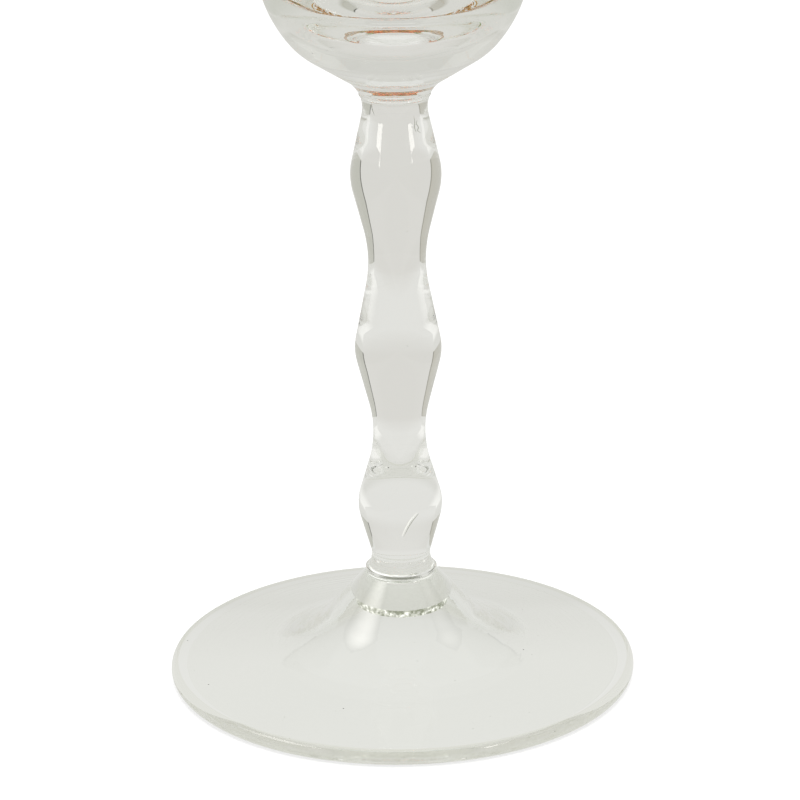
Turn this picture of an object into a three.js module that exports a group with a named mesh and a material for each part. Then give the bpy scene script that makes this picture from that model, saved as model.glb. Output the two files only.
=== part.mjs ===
// A small stemmed drinking glass: a round-bottomed bowl on a solid stem with three knops,
// a short collar, and a wide foot that is conical in the middle and nearly flat at the edge.
// Millimetres, Z up. The glass stands on z = 0 with its axis on Z.
import * as THREE from 'three';

// Foot
const FOOT_RADIUS = 34;
const FOOT_EDGE_ROUND = 1.2;
const FOOT_PLATE_SLOPE = 10;
const FOOT_CONE_SLOPE = 50;
const FOOT_SWEEP = 15;
const REST_RING_WIDTH = 1.4;
const CONE_WALL = 2;
const HOLLOW_SWEEP = 17.5;
const PONTIL_RADIUS = 6.4;
const PONTIL_HEIGHT = 10.7;

// Stem: the radius at each knop and waist, its height, and the radius of its curve in profile
const FOOT_NECK = { radius: 4.28, height: 18.6, curve: 3.4 };
const LOWER_KNOP = { radius: 6.1, height: 26.6, curve: 7.4 };
const LOWER_WAIST = { radius: 3.81, height: 37.8, curve: 17 };
const MIDDLE_KNOP = { radius: 6.26, height: 50.5, curve: 8 };
const UPPER_WAIST = { radius: 4.17, height: 63.7, curve: 19.6 };
const UPPER_KNOP = { radius: 6.52, height: 76.6, curve: 9.7 };
const BOWL_NECK = { radius: 4.67, height: 86.5, curve: 5.4 };
const COLLAR_TOP = 18.4;
const BOWL_SEAM = 88.6;

// Bowl
const BALL_RADIUS = 19.33;
const BALL_HEIGHT = 109;
const HEEL_CURVE = 10.3;
const HEEL_TILT = 51;
const WALL = 1.3;
const SHOULDER_CURVE = 170;
const INSIDE_BOTTOM_HEIGHT = 98.9;
const INSIDE_BOTTOM_CURVE = 24;
const INSIDE_WIDEST_HEIGHT = 114;
const INSIDE_SHOULDER_CURVE = 135;
const RIM_HEIGHT = 139.5;

// Fused pieces are drawn a hair apart, so that each stays a solid of its own
const SEAM_GAP = 0.3;
const TURN_STEPS = 48;
const PROFILE_TOLERANCE = 0.02;

const GLASS_COLOUR = 0xdadfdc;
const GLASS_ROUGHNESS = 0.04;

const point = (radius, height) => new THREE.Vector2(radius, height);
const radians = THREE.MathUtils.degToRad;
const degrees = THREE.MathUtils.radToDeg;

// Every curve of a profile is a circle. Its tilt is the angle of the surface's outward normal above the
// horizontal, and side is 1 where the surface swells outwards and -1 where it is drawn in.
function knop({ radius, height, curve }) {
  return { centre: point(radius - curve, height), curve, side: 1 };
}

function waist({ radius, height, curve }) {
  return { centre: point(radius + curve, height), curve, side: -1 };
}

function onCircle({ centre, curve, side }, tilt) {
  const reach = side * curve;
  return point(centre.x + reach * Math.cos(radians(tilt)), centre.y + reach * Math.sin(radians(tilt)));
}

function tiltAtHeight({ centre, curve, side }, height) {
  return degrees(Math.asin((height - centre.y) / (side * curve)));
}

function arc(circle, fromTilt, toTilt) {
  const largestStep = 2 * degrees(Math.acos(1 - PROFILE_TOLERANCE / circle.curve));
  const steps = Math.ceil(Math.abs(toTilt - fromTilt) / largestStep);
  const points = [];
  for (let i = 0; i <= steps; i += 1) {
    points.push(onCircle(circle, fromTilt + ((toTilt - fromTilt) * i) / steps));
  }
  return points;
}

// The tilt of the straight line that touches two neighbouring circles of a profile
function sharedTilt(lower, upper) {
  const across = upper.centre.clone().sub(lower.centre);
  const offset = lower.side * lower.curve - upper.side * upper.curve;
  return degrees(across.angle() - Math.acos(offset / across.length()));
}

// Arcs joined by straight lines that touch them, from a tilt on the first to a tilt on the last
function turnedOutline(circles, fromTilt, toTilt) {
  const points = [];
  let tilt = fromTilt;
  circles.forEach((circle, i) => {
    const last = i === circles.length - 1;
    const next = last ? toTilt : sharedTilt(circle, circles[i + 1]);
    points.push(...arc(circle, tilt, next));
    tilt = next;
  });
  return points;
}

// The circle that touches a wall at its widest height from inside and runs on into a flatter bottom circle
function cornerCircle(wallRadius, widestHeight, bottom) {
  const above = bottom.centre.y - widestHeight;
  const curve = (bottom.curve ** 2 - wallRadius ** 2 - above ** 2) / (2 * (bottom.curve - wallRadius));
  return knop({ radius: wallRadius, height: widestHeight, curve });
}

// The circle of the given curve that touches two lines, each given by a point on it and its downward slope
function sweepCircle(steep, shallow, curve) {
  const rise = (line) => Math.tan(radians(line.slope));
  const steepStart = steep.at.y + rise(steep) * steep.at.x;
  const shallowStart = shallow.at.y + rise(shallow) * shallow.at.x;
  const cornerRadius = (steepStart - shallowStart) / (rise(steep) - rise(shallow));
  const corner = point(cornerRadius, steepStart - rise(steep) * cornerRadius);
  const middle = radians((steep.slope + shallow.slope) / 2);
  const half = radians((steep.slope - shallow.slope) / 2);
  const away = curve / Math.cos(half);
  const centre = point(corner.x + away * Math.sin(middle), corner.y + away * Math.cos(middle));
  return { centre, curve, side: -1 };
}

function turned(name, outline) {
  const geometry = new THREE.LatheGeometry(outline, TURN_STEPS);
  geometry.rotateX(Math.PI / 2);
  const material = new THREE.MeshStandardMaterial({
    color: GLASS_COLOUR,
    roughness: GLASS_ROUGHNESS,
    metalness: 0,
  });
  const mesh = new THREE.Mesh(geometry, material);
  mesh.name = name;
  return mesh;
}

const footNeck = waist(FOOT_NECK);
const bowlNeck = waist(BOWL_NECK);
const coneTilt = 90 - FOOT_CONE_SLOPE;
const coneStart = onCircle(footNeck, coneTilt);

function makeFoot() {
  const edge = knop({ radius: FOOT_RADIUS, height: FOOT_EDGE_ROUND, curve: FOOT_EDGE_ROUND });
  const plateTilt = 90 - FOOT_PLATE_SLOPE;
  const cone = { at: coneStart, slope: FOOT_CONE_SLOPE };
  const plate = { at: onCircle(edge, plateTilt), slope: FOOT_PLATE_SLOPE };
  const restInside = point(edge.centre.x - REST_RING_WIDTH, 0);
  const wallBelow = CONE_WALL / Math.cos(radians(FOOT_CONE_SLOPE));
  const hollowCone = { at: point(coneStart.x, coneStart.y - wallBelow), slope: FOOT_CONE_SLOPE };
  const hollowPlate = { at: restInside, slope: FOOT_PLATE_SLOPE };
  const drop = Math.tan(radians(FOOT_CONE_SLOPE));
  const pontilRoot = hollowCone.at.y - drop * (PONTIL_RADIUS - coneStart.x);
  const topHeight = coneStart.y - SEAM_GAP;
  return turned('foot', [
    point(0, PONTIL_HEIGHT),
    point(PONTIL_RADIUS, PONTIL_HEIGHT),
    point(PONTIL_RADIUS, pontilRoot),
    ...arc(sweepCircle(hollowCone, hollowPlate, HOLLOW_SWEEP), coneTilt, plateTilt),
    restInside,
    ...arc(edge, -90, plateTilt),
    ...arc(sweepCircle(cone, plate, FOOT_SWEEP), plateTilt, coneTilt),
    point(coneStart.x + SEAM_GAP / drop, topHeight),
    point(0, topHeight),
  ]);
}

function makeFootCollar() {
  return turned('foot_collar', [
    point(0, coneStart.y),
    ...arc(footNeck, coneTilt, tiltAtHeight(footNeck, COLLAR_TOP)),
    point(0, COLLAR_TOP),
  ]);
}

function makeStem() {
  const bends = [footNeck, knop(LOWER_KNOP), waist(LOWER_WAIST), knop(MIDDLE_KNOP), waist(UPPER_WAIST),
    knop(UPPER_KNOP), bowlNeck];
  const bottom = COLLAR_TOP + SEAM_GAP;
  return turned('stem', [
    point(0, bottom),
    ...turnedOutline(bends, tiltAtHeight(footNeck, bottom), tiltAtHeight(bowlNeck, BOWL_SEAM)),
    point(0, BOWL_SEAM),
  ]);
}

function makeBowl() {
  const bottom = BOWL_SEAM + SEAM_GAP;
  const heelReach = BALL_RADIUS - HEEL_CURVE;
  const heelTilt = HEEL_TILT - 90;
  const heelCentre = point(
    heelReach * Math.cos(radians(heelTilt)),
    BALL_HEIGHT + heelReach * Math.sin(radians(heelTilt)),
  );
  const heel = { centre: heelCentre, curve: HEEL_CURVE, side: 1 };
  const ball = knop({ radius: BALL_RADIUS, height: BALL_HEIGHT, curve: BALL_RADIUS });
  const shoulder = knop({ radius: BALL_RADIUS, height: BALL_HEIGHT, curve: SHOULDER_CURVE });
  const insideRadius = BALL_RADIUS - WALL;
  const insideBottom = {
    centre: point(0, INSIDE_BOTTOM_HEIGHT + INSIDE_BOTTOM_CURVE),
    curve: INSIDE_BOTTOM_CURVE,
    side: 1,
  };
  const insideCorner = cornerCircle(insideRadius, INSIDE_WIDEST_HEIGHT, insideBottom);
  const bottomTilt = degrees(insideCorner.centre.clone().sub(insideBottom.centre).angle()) - 360;
  const insideShoulder = knop({
    radius: insideRadius,
    height: INSIDE_WIDEST_HEIGHT,
    curve: INSIDE_SHOULDER_CURVE,
  });
  const rimTilt = tiltAtHeight(shoulder, RIM_HEIGHT);
  const insideRimTilt = tiltAtHeight(insideShoulder, RIM_HEIGHT);
  const rimOutside = onCircle(shoulder, rimTilt).x;
  const rimInside = onCircle(insideShoulder, insideRimTilt).x;
  const rimRound = (rimOutside - rimInside) / 2;
  const rim = { centre: point(rimInside + rimRound, RIM_HEIGHT), curve: rimRound, side: 1 };
  return turned('bowl', [
    point(0, bottom),
    ...turnedOutline([bowlNeck, heel], tiltAtHeight(bowlNeck, bottom), heelTilt),
    ...arc(ball, heelTilt, 0).slice(1),
    ...arc(shoulder, 0, rimTilt).slice(1),
    ...arc(rim, 0, 180).slice(1, -1),
    ...arc(insideShoulder, insideRimTilt, 0),
    ...arc(insideCorner, 0, bottomTilt).slice(1),
    ...arc(insideBottom, bottomTilt, -90).slice(1),
  ]);
}

const glass = new THREE.Group();
glass.add(makeFoot(), makeFootCollar(), makeStem(), makeBowl());

export default glass;
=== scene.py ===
# %% [markdown]
# A small drinking glass made by hand: a blown bowl, a solid stem with three knops, a short collar and a
# wide foot that rises to a cone in the middle. All of it is clear glass, so its looks come from three
# things: the exact curve of each surface, what the room around it looks like, and the small marks that
# hand work leaves. The CAD model is the frame, and each of its four solids gets a finer piece here.

from math import acos, asin, atan2, ceil, cos, degrees, hypot, pi, radians, sin, sqrt, tan

import bmesh
import bpy
import numpy as np
from mathutils import Matrix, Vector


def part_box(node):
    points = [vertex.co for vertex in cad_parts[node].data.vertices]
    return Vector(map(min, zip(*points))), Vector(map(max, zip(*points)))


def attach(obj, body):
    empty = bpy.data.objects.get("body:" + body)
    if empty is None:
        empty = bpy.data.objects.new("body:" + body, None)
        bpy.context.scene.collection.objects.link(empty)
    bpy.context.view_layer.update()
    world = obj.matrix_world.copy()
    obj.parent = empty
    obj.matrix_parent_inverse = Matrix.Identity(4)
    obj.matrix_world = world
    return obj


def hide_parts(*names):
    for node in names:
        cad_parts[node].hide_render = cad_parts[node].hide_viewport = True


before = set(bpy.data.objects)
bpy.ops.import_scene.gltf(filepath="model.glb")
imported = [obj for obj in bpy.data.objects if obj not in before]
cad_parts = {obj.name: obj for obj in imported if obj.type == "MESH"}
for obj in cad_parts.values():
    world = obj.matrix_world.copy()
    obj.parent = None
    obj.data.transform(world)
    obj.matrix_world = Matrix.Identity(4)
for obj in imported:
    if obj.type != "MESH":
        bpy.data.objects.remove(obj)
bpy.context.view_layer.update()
MM = 0.001

# %% [markdown]
# A few small tools are used everywhere. Colours are written as hex values, as a paint chart gives them,
# and Blender wants linear light, so one function turns them. Shader trees and geometry trees are both
# made of nodes, and one function adds a node with its settings and its links. The others add the steps
# of a calculation, paint a ramp, lay a texture whose marks have a real size, and start a material.

# %% Colours and nodes
def linear(hex_colour):
    """Turns an sRGB hex colour into linear light."""
    parts = [int(hex_colour[i:i + 2], 16) / 255 for i in (1, 3, 5)]
    return [p / 12.92 if p <= 0.04045 else ((p + 0.055) / 1.055) ** 2.4 for p in parts] + [1.0]


def add(tree, kind, inputs=None, **settings):
    """Adds a node. Its inputs are values, other nodes' outputs, or nodes that give their first output."""
    node = tree.nodes.new(kind)
    for name, value in settings.items():
        setattr(node, name, value)
    for socket, value in (inputs or {}).items():
        if isinstance(value, bpy.types.Node):
            value = value.outputs[0]
        if isinstance(value, bpy.types.NodeSocket):
            tree.links.new(value, node.inputs[socket])
        else:
            node.inputs[socket].default_value = value
    return node


def follow(tree, kind, found, steps):
    """Adds a node of this kind for each step of a calculation: its name, its operation and its terms."""
    for name, operation, *terms in steps:
        inputs = {i: found.get(term, term) for i, term in enumerate(terms)}
        found[name] = add(tree, kind, inputs, operation=operation)


def paint_ramp(ramp, stops):
    """Sets a colour ramp's stops from pairs of place and hex colour, and gives the ramp back."""
    elements = ramp.color_ramp.elements
    while len(elements) < len(stops):
        elements.new(0.5)
    for element, (place, colour) in zip(elements, stops):
        element.position = place
        element.color = linear(colour)
    return ramp


def pattern(tree, size, kind="ShaderNodeTexNoise", **inputs):
    """A texture on the piece's own coordinates, with marks of this many millimetres."""
    place = add(tree, "ShaderNodeTexCoord").outputs["Object"]
    return add(tree, kind, {"Vector": place, "Scale": 1 / (size * MM), **inputs})


def new_material(name, build, *choices):
    """A material with the surface that the given function builds in its tree."""
    material = bpy.data.materials.new(name)
    material.use_nodes = True
    tree = material.node_tree
    tree.nodes.clear()
    add(tree, "ShaderNodeOutputMaterial", {"Surface": build(tree, *choices)})
    return material


# %% [markdown]
# The camera looks down on the foot at 24 degrees, which the foot's outline in the photograph gives: an
# ellipse 463 pixels wide and 200 high. The stem leans a degree to the left in the picture, so the camera
# is rolled by that much. A long lens from 65 cm away keeps the knops almost free of perspective.

# %% The camera
CAMERA_DISTANCE = 650
CAMERA_HEIGHT = 293
CAMERA_AIM = 42.3
CAMERA_ROLL = 0.78
CAMERA_SIDE = 0.15
LENS = 217.8
SENSOR_WIDTH = 36

scene = bpy.context.scene


def new_object(name, data):
    """A new object in the scene: a piece of the glass, or something of the studio."""
    item = bpy.data.objects.new(name, data)
    scene.collection.objects.link(item)
    return item


camera = new_object("camera", bpy.data.cameras.new("camera"))
scene.camera = camera
pitch = atan2(CAMERA_HEIGHT - CAMERA_AIM, CAMERA_DISTANCE)
camera.data.sensor_width = SENSOR_WIDTH
camera.data.lens = LENS
camera.location = (CAMERA_SIDE * MM, -CAMERA_DISTANCE * MM, CAMERA_HEIGHT * MM)
tipped = Matrix.Rotation(pi / 2 - pitch, 3, "X")
rolled = Matrix.Rotation(radians(-CAMERA_ROLL), 3, "Z")
camera.rotation_euler = (tipped @ rolled).to_euler()
scene.view_settings.view_transform = "Standard"
print("the middle of the view is", round(degrees(pitch), 2), "degrees below the horizontal")

# %% [markdown]
# A turned piece is a profile spun about the axis. The profile of hand-made glass is a chain of round
# curves with straight stretches that touch them, so a knop is given by its widest radius, its height and
# how tightly it curves, and a waist in the same way. Points are worked out close together, because clear
# glass shows every facet.

# %% Circles of a profile
STEP = 0.35
SMALLEST_TURN = 3.0
FEWEST_STEPS = 2
SAME_PLACE = 1e-6


def knop(radius, height, curve):
    return {"centre": np.array([radius - curve, height]), "curve": curve, "side": 1}


def waist(radius, height, curve):
    return {"centre": np.array([radius + curve, height]), "curve": curve, "side": -1}


def on_circle(circle, tilt):
    """The point where the surface's normal stands at this tilt above the horizontal, in degrees."""
    angle = radians(tilt)
    return circle["centre"] + circle["side"] * circle["curve"] * np.array([cos(angle), sin(angle)])


def tilt_at(circle, height):
    return degrees(asin((height - circle["centre"][1]) / (circle["side"] * circle["curve"])))


def arc(circle, start, end):
    turn = min(SMALLEST_TURN, degrees(STEP / circle["curve"]))
    count = max(FEWEST_STEPS, ceil(abs(end - start) / turn))
    return [on_circle(circle, start + (end - start) * i / count) for i in range(count + 1)]


def shared_tilt(lower, upper):
    """The tilt of the straight line that touches two neighbouring circles."""
    across = upper["centre"] - lower["centre"]
    offset = lower["side"] * lower["curve"] - upper["side"] * upper["curve"]
    return degrees(atan2(across[1], across[0]) - acos(offset / np.hypot(*across)))


def chain(circles, start, end):
    """Arcs joined by touching lines, from a tilt on the first circle to a tilt on the last."""
    points = []
    for i, circle in enumerate(circles):
        tilt = end if i == len(circles) - 1 else shared_tilt(circle, circles[i + 1])
        points += arc(circle, start, tilt)
        start = tilt
    return points


def divided(points):
    """The same line with its long straight stretches divided into steps."""
    out = [np.asarray(points[0], float)]
    for point in points[1:]:
        start = out[-1]
        gap = np.hypot(*(point - start))
        count = ceil(gap / STEP) if gap > SAME_PLACE else 0
        out += [start + (np.asarray(point) - start) * i / count for i in range(1, count + 1)]
    return out


# %% [markdown]
# Geometry Nodes turn the profile. A grid gets one row for each point of the profile and one column for
# each step round the axis, and each of its points is then put at the profile's radius and height and at
# its own angle. Blown and tooled glass is never quite round, so a soft noise draws the surface in by a
# few hundredths of a millimetre, and a second one, which changes only along the profile, leaves the faint
# rings of the tool. Both depend only on the place in space, so two pieces that meet still meet. Merging
# by distance closes the seam and the two poles.

# %% Starting, ending and running a tree
def new_tree(name, whole, real):
    """A geometry tree with whole and real numbers as named inputs, and its input node's outputs."""
    tree = bpy.data.node_groups.new(name, "GeometryNodeTree")
    tree.interface.new_socket("Geometry", in_out="OUTPUT", socket_type="NodeSocketGeometry")
    kinds = {"Geometry": "Geometry", "Material": "Material"}
    kinds |= dict.fromkeys(whole, "Int") | dict.fromkeys(real, "Float")
    for socket, kind in kinds.items():
        tree.interface.new_socket(socket, in_out="INPUT", socket_type="NodeSocket" + kind)
    return tree, add(tree, "NodeGroupInput").outputs


def end_tree(tree, given, geometry):
    """Makes instances real, sets the material and gives the result out."""
    real = add(tree, "GeometryNodeRealizeInstances", {"Geometry": geometry})
    painted = add(tree, "GeometryNodeSetMaterial", {"Geometry": real, "Material": given["Material"]})
    add(tree, "NodeGroupOutput", {0: painted})
    return tree


def through_tree(name, mesh, tree, values):
    """Runs a mesh through a tree with these inputs, and keeps the result as a plain mesh of its own."""
    source = new_object(name + "_source", mesh)
    modifier = source.modifiers.new("tree", "NODES")
    modifier.node_group = tree
    for item in tree.interface.items_tree:
        if item.in_out == "INPUT" and item.name in values:
            modifier[item.identifier] = values[item.name]
    graph = bpy.context.evaluated_depsgraph_get()
    result = bpy.data.meshes.new_from_object(source.evaluated_get(graph))
    bpy.data.objects.remove(source)
    result.name = name
    return new_object(name, result)


def face_outwards(mesh):
    shape = bmesh.new()
    shape.from_mesh(mesh)
    bmesh.ops.recalc_face_normals(shape, faces=shape.faces)
    shape.to_mesh(mesh)
    shape.free()


# %% The turning tree
POLE_EASE = 2
WELD = 0.002


def turning_tree():
    tree, given = new_tree("turned glass", ["Steps Around"],
                           ["Drawn In", "Wave Length", "Ring Depth", "Ring Spacing"])
    size = add(tree, "GeometryNodeAttributeDomainSize", {0: given["Geometry"]}, component="MESH")
    position = add(tree, "GeometryNodeInputPosition")
    across, around, _ = add(tree, "ShaderNodeSeparateXYZ", {0: position}).outputs
    found = {"rows": size.outputs["Point Count"]}
    follow(tree, "ShaderNodeMath", found, [
        ("columns", "ADD", given["Steps Around"], 1.0),
        ("last row", "SUBTRACT", "rows", 1.0),
        ("share", "ADD", across, 0.5),
        ("place", "MULTIPLY", "share", "last row"),
        ("nearest", "ROUND", "place"),
    ])
    grid = add(tree, "GeometryNodeMeshGrid", {
        "Size X": 1.0, "Size Y": 1.0, "Vertices X": found["rows"], "Vertices Y": found["columns"]})
    profile = add(tree, "GeometryNodeSampleIndex", {
        0: given["Geometry"], "Value": position, "Index": found["nearest"],
    }, data_type="FLOAT_VECTOR", domain="POINT")
    radius, _, height = add(tree, "ShaderNodeSeparateXYZ", {0: profile}).outputs
    follow(tree, "ShaderNodeMath", found, [
        ("angle", "MULTIPLY", around, 2 * pi),
        ("cosine", "COSINE", "angle"),
        ("sine", "SINE", "angle"),
        ("x", "MULTIPLY", radius, "cosine"),
        ("y", "MULTIPLY", radius, "sine"),
        ("fineness", "DIVIDE", 1.0, given["Wave Length"]),
        ("along", "ADD", radius, height),
        ("closeness", "DIVIDE", 1.0, given["Ring Spacing"]),
    ])
    spun = add(tree, "ShaderNodeCombineXYZ", {0: found["x"], 1: found["y"], 2: height})
    waves = add(tree, "ShaderNodeTexNoise", {"Vector": spun, "Scale": found["fineness"], "Detail": 1.0})
    line = add(tree, "ShaderNodeCombineXYZ", {2: found["along"]})
    rings = add(tree, "ShaderNodeTexNoise", {"Vector": line, "Scale": found["closeness"], "Detail": 2.0})
    follow(tree, "ShaderNodeMath", found, [
        ("soft pull", "MULTIPLY", waves, given["Drawn In"]),
        ("ring pull", "MULTIPLY", rings, given["Ring Depth"]),
        ("pull", "ADD", "soft pull", "ring pull"),
        ("eased radius", "ADD", radius, POLE_EASE * MM),
        ("lost", "DIVIDE", "pull", "eased radius"),
        ("kept", "SUBTRACT", 1.0, "lost"),
    ])
    kept = add(tree, "ShaderNodeCombineXYZ", {0: found["kept"], 1: found["kept"], 2: 1.0})
    drawn = add(tree, "ShaderNodeVectorMath", {0: spun, 1: kept}, operation="MULTIPLY")
    moved = add(tree, "GeometryNodeSetPosition", {"Geometry": grid, "Position": drawn})
    closed = add(tree, "GeometryNodeMergeByDistance", {"Geometry": moved, "Distance": WELD * MM})
    return end_tree(tree, given, add(tree, "GeometryNodeSetShadeSmooth", {"Geometry": closed}))


# %% Turned pieces
TURNING = turning_tree()
DRAWN_IN = 0.05
WAVE_LENGTH = 9
RING_SPACING = 2.6
SHARP_ANGLE = 35


def turned(name, profile, steps, material, ring_depth=0.0):
    """A closed piece of glass from its profile, in millimetres, from one pole round to the other."""
    line = bpy.data.meshes.new(name)
    points = [(radius * MM, 0, height * MM) for radius, height in profile]
    line.from_pydata(points, [(i, i + 1) for i in range(len(points) - 1)], [])
    piece = through_tree(name, line, TURNING, {
        "Steps Around": steps, "Drawn In": DRAWN_IN * MM, "Wave Length": WAVE_LENGTH * MM,
        "Ring Depth": ring_depth * MM, "Ring Spacing": RING_SPACING * MM, "Material": material})
    face_outwards(piece.data)
    piece.data.set_sharp_from_angle(angle=radians(SHARP_ANGLE))
    print(name, len(piece.data.vertices), "vertices,", [round(v / MM, 2) for v in piece.dimensions], "mm")
    return piece


# %% [markdown]
# The glass itself is clear soda-lime glass, the common glass of the blower's pot. Its index is 1.52, it
# is fire-polished, so it has almost no roughness, and iron in the sand leaves a faint grey-green cast,
# which the thick edge of the foot shows most. Where two hot pieces are pressed together they become one,
# and light crosses the seam without bending. The closed end faces of the pieces therefore get a material
# that lets light pass straight through.

# %% Clear glass and fused seams
GLASS_INDEX = 1.52
RIPPLE_SPACING = 0.9
RIPPLE_DEPTH = 0.012
RIPPLE_SLOWNESS = 0.1
FLAT_FACE = 0.9
SEAM_REACH = 0.005


def clear_glass(tree, tint, ripple=0.0):
    """Fire-polished glass. A ripple, in millimetres, leaves the fine rings of the tool that spread it."""
    look = {"Base Color": linear(tint), "Roughness": 0.0, "IOR": GLASS_INDEX, "Transmission Weight": 1.0}
    if ripple:
        place = add(tree, "ShaderNodeTexCoord").outputs["Object"]
        level = add(tree, "ShaderNodeVectorMath", {0: place, 1: (1.0, 1.0, 0.0)}, operation="MULTIPLY")
        radius = add(tree, "ShaderNodeVectorMath", {0: level}, operation="LENGTH").outputs["Value"]
        slow = add(tree, "ShaderNodeVectorMath", {0: level, "Scale": RIPPLE_SLOWNESS}, operation="SCALE")
        x, y, _ = add(tree, "ShaderNodeSeparateXYZ", {0: slow}).outputs
        ringed = add(tree, "ShaderNodeCombineXYZ", {0: radius, 1: x, 2: y})
        rings = add(tree, "ShaderNodeTexNoise", {"Vector": ringed, "Scale": 1 / (RIPPLE_SPACING * MM)})
        look["Normal"] = add(tree, "ShaderNodeBump", {"Height": rings, "Distance": ripple * MM})
    return add(tree, "ShaderNodeBsdfPrincipled", look)


def fused_seam(tree):
    """Nothing to see: the joint of two pieces that have become one."""
    return add(tree, "ShaderNodeBsdfTransparent", {"Color": linear("#ffffff")})


STEM_GLASS = new_material("clear soda glass, tooled", clear_glass, "#fdfdfb")
BOWL_GLASS = new_material("clear soda glass, blown", clear_glass, "#fefefc")
FOOT_GLASS = new_material("clear soda glass, pressed flat", clear_glass, "#fcfdfa", RIPPLE_DEPTH)
EDGE_GLASS = new_material("clear soda glass, thick edge", clear_glass, "#eff0e7")
SEAM = new_material("fused seam", fused_seam)


def resurface(piece, material, wanted):
    """Gives the material to each face for which the test on its radius, height and normal is true."""
    index = len(piece.data.materials)
    piece.data.materials.append(material)
    for face in piece.data.polygons:
        radius = hypot(face.center.x, face.center.y) / MM
        if wanted(radius, face.center.z / MM, face.normal):
            face.material_index = index


def seal_seams(piece, heights):
    """Gives the flat end faces at these heights the fused seam's material."""
    resurface(piece, SEAM, lambda radius, height, normal: abs(normal.z) > FLAT_FACE
              and any(abs(height - seam) < SEAM_REACH for seam in heights))


# %% [markdown]
# Every size below is one of the glass's own measures, in millimetres, and the seams lie midway in the
# hair-wide gaps that the CAD solids keep.

# %% Seams and the outline of the stem
def middle(low_node, high_node):
    return (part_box(low_node)[1].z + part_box(high_node)[0].z) / 2 / MM


FOOT_SEAM = middle("foot", "foot_collar")
COLLAR_SEAM = middle("foot_collar", "stem")
BOWL_SEAM = middle("stem", "bowl")
FOOT_NECK = waist(4.28, 18.6, 3.4)
BOWL_NECK = waist(4.67, 86.5, 5.4)
STEM_BENDS = [
    FOOT_NECK, knop(6.1, 26.6, 7.4), waist(3.81, 37.8, 17), knop(6.26, 50.5, 8),
    waist(4.17, 63.7, 19.6), knop(6.52, 76.6, 9.7), BOWL_NECK,
]
print("seams at", round(FOOT_SEAM, 2), round(COLLAR_SEAM, 2), round(BOWL_SEAM, 2), "mm")

# %% [markdown]
# Where two gathers of hot glass are pressed together, each has a slightly rounded edge, and the two edges
# leave a fine crease round the joint. Each end of a piece is therefore eased by a tenth of a millimetre
# or a little more.

# %% Eased ends
EASE_STEPS = 4
COLLAR_EASE = 0.12
BOWL_EASE = 0.25
FOOT_EASE = 0.3


def eased(side, seam, ease):
    """The side line with its end at the seam rounded inwards, whichever end of the line that is."""
    below = side[0][1] < seam - ease or side[-1][1] < seam - ease
    kept = [p for p in side if abs(p[1] - seam) > ease]
    at_start = abs(side[0][1] - seam) < abs(side[-1][1] - seam)
    radius = (side[0] if at_start else side[-1])[0]
    corner = knop(radius, seam - ease if below else seam + ease, ease)
    turn = [on_circle(corner, (90 if below else -90) * share / EASE_STEPS) for share in range(EASE_STEPS + 1)]
    return turn[::-1] + kept if at_start else kept + turn


# %% The stem
STEM_STEPS = 160
STEM_RINGS = 0.05
stem_side = chain(STEM_BENDS, tilt_at(FOOT_NECK, COLLAR_SEAM), tilt_at(BOWL_NECK, BOWL_SEAM))
stem_side = eased(eased(stem_side, COLLAR_SEAM, COLLAR_EASE), BOWL_SEAM, BOWL_EASE)
stem_line = divided([(0, COLLAR_SEAM), *stem_side, (0, BOWL_SEAM)])
stem = turned("knopped_stem", stem_line, STEM_STEPS, STEM_GLASS, STEM_RINGS)
seal_seams(stem, [COLLAR_SEAM, BOWL_SEAM])

# %% The collar
CONE_SLOPE = 50
CONE_TILT = 90 - CONE_SLOPE
cone_start = on_circle(FOOT_NECK, CONE_TILT)
drop = tan(radians(CONE_SLOPE))
seam_radius = cone_start[0] + (cone_start[1] - FOOT_SEAM) / drop
seam_corner = np.array([seam_radius, FOOT_SEAM])
collar_side = [seam_corner, *arc(FOOT_NECK, CONE_TILT, tilt_at(FOOT_NECK, COLLAR_SEAM))]
collar_side = eased(eased(collar_side, COLLAR_SEAM, COLLAR_EASE), FOOT_SEAM, FOOT_EASE)
collar_line = divided([(0, FOOT_SEAM), *collar_side, (0, COLLAR_SEAM)])
collar = turned("glass_collar", collar_line, STEM_STEPS, STEM_GLASS)
seal_seams(collar, [FOOT_SEAM, COLLAR_SEAM])

# %% [markdown]
# The foot is a gather of glass that was pressed and spun out hot: a cone in the middle that sweeps out to
# a nearly flat plate with a rounded, thicker edge. Underneath it is hollow. There the pontil rod was
# broken off, which left a step of chipped glass round a disc that was ground flat.

# %% The foot
FOOT_RADIUS = 34.0
EDGE_ROUND = 1.2
PLATE_SLOPE = 10
FOOT_SWEEP = 15
HOLLOW_SWEEP = 17.5
REST_RING_WIDTH = 1.4
CONE_WALL = 2.0
PONTIL_RADIUS = 6.4
PONTIL_HEIGHT = 10.7
FOOT_STEPS = 240
FOOT_RINGS = 0.12


def sweep(steep_at, steep, shallow_at, shallow, curve):
    """The circle of this curve that touches two falling lines, each given by a point and a slope."""
    steep_rise = tan(radians(steep))
    shallow_rise = tan(radians(shallow))
    steep_start = steep_at[1] + steep_rise * steep_at[0]
    shallow_start = shallow_at[1] + shallow_rise * shallow_at[0]
    radius = (steep_start - shallow_start) / (steep_rise - shallow_rise)
    corner = np.array([radius, steep_start - steep_rise * radius])
    middle_slope = radians((steep + shallow) / 2)
    away = curve / cos(radians((steep - shallow) / 2))
    centre = corner + away * np.array([sin(middle_slope), cos(middle_slope)])
    return {"centre": centre, "curve": curve, "side": -1}


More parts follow.
